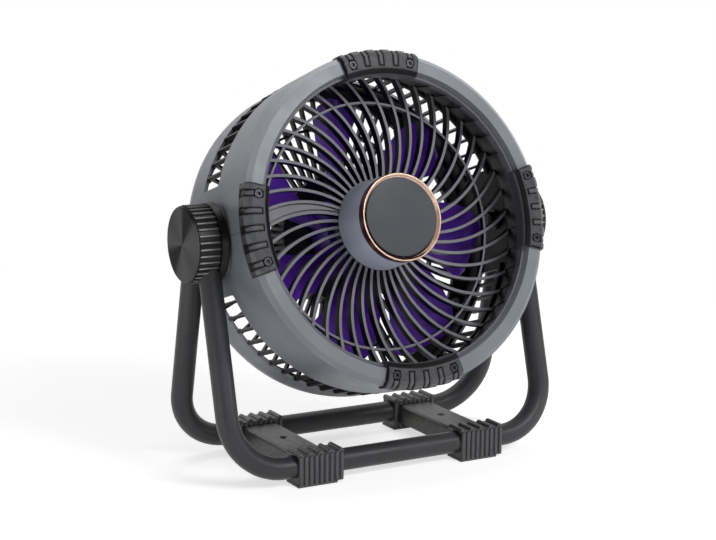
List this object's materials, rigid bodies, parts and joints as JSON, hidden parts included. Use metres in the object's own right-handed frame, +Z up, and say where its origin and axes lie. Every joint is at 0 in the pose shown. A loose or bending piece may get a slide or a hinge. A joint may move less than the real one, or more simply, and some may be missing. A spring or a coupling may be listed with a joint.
{
  "type": "portable camping fan",
  "caption": "Portable camping fan: a round drum with a curved grille and a glossy rotor tilts between two hubs on a bent tube stand with rubber feet.",
  "frame": {"origin": "centre of the whole fan's footprint box on the floor, head at its rest tilt", "axes": "+Z up, the fan blows towards -Y and 17.5 degrees upwards, +X along the tilt axis to the right as seen from the front"},
  "size_m": [0.3426, 0.213, 0.3553],
  "materials": {
    "tube_black": "satin powder coat",
    "plate_grey": "satin",
    "rubber_black": "matte",
    "hub_black": "satin",
    "cap_black": "radially brushed",
    "shell_grey": "satin, fine metallic paint",
    "duct_dark": "satin",
    "guard_black": "satin",
    "grille_grey": "satin",
    "black_plastic": "satin",
    "pod_grey": "satin",
    "copper": "polished copper colour",
    "panel_slate": "smooth",
    "violet": "gloss",
    "steel": "plain",
    "black_steel": "blackened",
    "board_green": "solder mask",
    "winding": "enamelled wire",
    "cell_blue": "shrink sleeve"
  },
  "bodies": {
    "stand": {"front_tube": "tube_black", "rear_tube": "tube_black", "plate_left": "plate_grey", "plate_right": "plate_grey", "foot_front_left": "rubber_black", "foot_front_right": "rubber_black", "foot_rear_left": "rubber_black", "foot_rear_right": "rubber_black", "foot_screws": "steel", "hub_left": "hub_black", "hub_right": "hub_black", "hub_cap_left": "cap_black", "hub_cap_right": "cap_black", "pivot_bolts": "steel", "pivot_nuts": "steel"},
    "head": {"upper_shell": "shell_grey", "lower_shell": "shell_grey", "air_duct": "duct_dark", "vent_grille_upper": "black_plastic", "vent_grille_lower": "black_plastic", "guard_top": "guard_black", "guard_right": "guard_black", "guard_bottom": "guard_black", "guard_left": "guard_black", "guard_screws": "black_steel", "front_grille": "grille_grey", "centre_pod": "pod_grey", "copper_ring": "copper", "front_panel": "panel_slate", "display_board": "board_green", "pod_screws": "steel", "rear_grille": "black_plastic", "rear_screws": "black_steel", "motor_base": "steel", "motor_screws": "steel", "motor_stator": "winding", "motor_bearings": "steel", "battery_cells": "cell_blue", "battery_holder": "black_plastic", "control_board": "board_green", "rear_cover": "black_plastic", "cover_screws": "black_steel", "charge_port": "steel", "button_switch": "black_plastic"},
    "rotor": {"motor_magnets": "black_steel", "motor_shaft": "steel", "fan_rotor": "violet", "rotor_nut": "steel"},
    "button": {"power_button": "black_plastic"},
    "flap": {"port_flap": "rubber_black"}
  },
  "joints": [
    {"name": "head_tilt", "type": "hinge", "parent": "stand", "child": "head", "pos_m": [0, 0.00231, 0.1984], "axis": [1, 0, 0], "range_deg": [-72.5, 107.5]},
    {"name": "rotor_spin", "type": "hinge", "parent": "head", "child": "rotor", "pos_m": [0, 0.00231, 0.1984], "axis": [0, -0.9537, 0.3007], "continuous": true},
    {"name": "button_press", "type": "slide", "parent": "head", "child": "button", "axis": [0, -0.9537, 0.3007], "range_m": [0, 0.0015], "stiffness_N_per_m": 800, "springref_m": -0.0004},
    {"name": "flap_hinge", "type": "hinge", "parent": "head", "child": "flap", "pos_m": [0, 0.06227, 0.13913], "axis": [1, 0, 0], "range_deg": [0, 110]}
  ]
}
